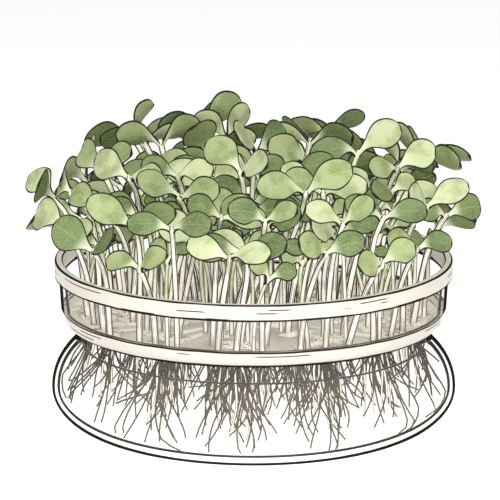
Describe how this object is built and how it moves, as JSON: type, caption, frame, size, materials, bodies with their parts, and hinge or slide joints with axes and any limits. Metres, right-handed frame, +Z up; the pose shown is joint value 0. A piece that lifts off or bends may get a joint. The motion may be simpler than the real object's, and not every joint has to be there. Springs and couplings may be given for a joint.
{
  "type": "microgreens tray",
  "caption": "Round clear sprouting tray full of seedlings, resting on a squat glass bowl of water that holds their roots.",
  "frame": {"origin": "centre of the bowl's flat foot, on the surface that it stands on", "axes": "+Z up, along the common axis of the bowl and the tray; the foliage is irregular round it"},
  "size_m": [0.1718, 0.1672, 0.1232],
  "materials": {
    "bowl_glass": "clear, slightly warm glass",
    "water": "still clear water",
    "tray_clear": "clear, slightly milky moulded plastic",
    "seedling": "soft living leaf and pale stem",
    "leaf": "soft leaf in three greens",
    "stem": "pale juicy stem, greener at the top",
    "root": "fine wet root"
  },
  "bodies": {
    "root": {"bowl": "bowl_glass", "water": "water", "tray": "tray_clear", "seedlings_01": "seedling", "seedlings_02": "seedling", "seedlings_03": "seedling", "seedlings_04": "seedling", "seedlings_05": "seedling", "seedlings_06": "seedling", "seedlings_07": "seedling", "seedlings_08": "seedling", "seedlings_09": "seedling", "seedlings_10": "seedling", "seedlings_11": "seedling", "seedlings_12": "seedling", "seedlings_13": "seedling", "seedlings_14": "seedling", "seedlings_15": "seedling", "seedlings_16": "seedling", "seedlings_17": "seedling", "seedlings_18": "seedling", "seedlings_19": "seedling", "seedlings_20": "seedling", "seedlings_21": "seedling", "seedlings_22": "seedling", "seedlings_23": "seedling", "seedlings_24": "seedling", "seedlings_25": "seedling", "seedlings_26": "seedling", "seedlings_27": "seedling", "seedlings_28": "seedling", "seedlings_29": "seedling", "seedlings_30": "seedling", "seedlings_31": "seedling", "seedlings_32": "seedling", "seedlings_33": "seedling"}
  },
  "joints": []
}
